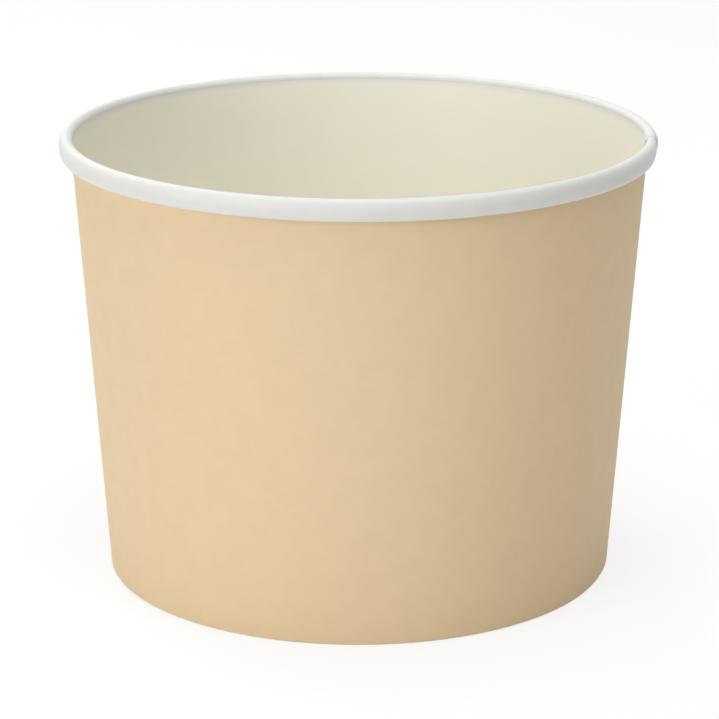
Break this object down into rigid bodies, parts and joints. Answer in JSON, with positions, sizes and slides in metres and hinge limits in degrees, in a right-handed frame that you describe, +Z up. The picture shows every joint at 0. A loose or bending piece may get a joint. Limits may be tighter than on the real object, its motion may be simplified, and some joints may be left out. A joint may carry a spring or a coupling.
{
  "type": "paper ice cream tub",
  "caption": "Open round paper tub for ice cream, tapering to the foot, with a rolled rim bead, a lapped side seam and a recessed base disc held in a turned-in hem.",
  "frame": {"origin": "centre of the foot, on the surface that the tub stands on", "axes": "+Z up along the tub's axis, +X towards the middle of the side seam"},
  "size_m": [0.097, 0.097, 0.073],
  "materials": {
    "printed_board": "matte",
    "base_board": "satin"
  },
  "bodies": {
    "root": {"sidewall": "printed_board", "base_disc": "base_board"}
  },
  "joints": []
}
